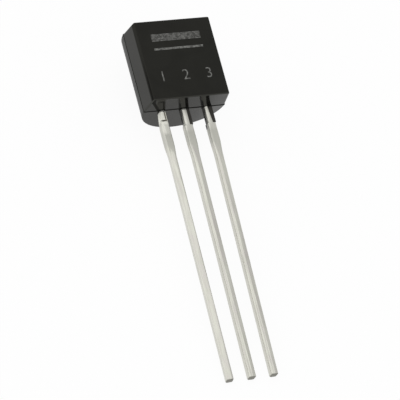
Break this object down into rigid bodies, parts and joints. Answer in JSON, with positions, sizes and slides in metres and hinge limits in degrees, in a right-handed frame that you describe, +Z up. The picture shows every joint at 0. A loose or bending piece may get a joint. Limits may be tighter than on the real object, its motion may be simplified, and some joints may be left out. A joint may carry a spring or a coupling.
{
  "type": "voltage regulator",
  "caption": "Small plastic voltage regulator with a flat front, a round back and long tinned leads for a circuit board, lying on its back.",
  "frame": {"origin": "centre of the box at the surface that the part lies on; it lies on its round back and its lead tips, flat face up", "axes": "+Y from the lead tips to the moulded body, +X across the row of leads from output to input, +Z up out of the flat face"},
  "size_m": [0.0046, 0.0194, 0.004],
  "materials": {
    "resin": "black moulding compound, matt flat face, smoother sides",
    "tinned_lead": "satin tin plating over copper alloy",
    "solder": "dull soft solder",
    "silicon": "polished chip",
    "gold_wire": "fine drawn gold"
  },
  "bodies": {
    "root": {"moulded_body": "resin", "lead_output": "tinned_lead", "lead_ground": "tinned_lead", "lead_input": "tinned_lead", "die_attach": "solder", "regulator_die": "silicon", "bond_wire_output": "gold_wire", "bond_wire_input": "gold_wire", "bond_wire_ground": "gold_wire"}
  },
  "joints": []
}
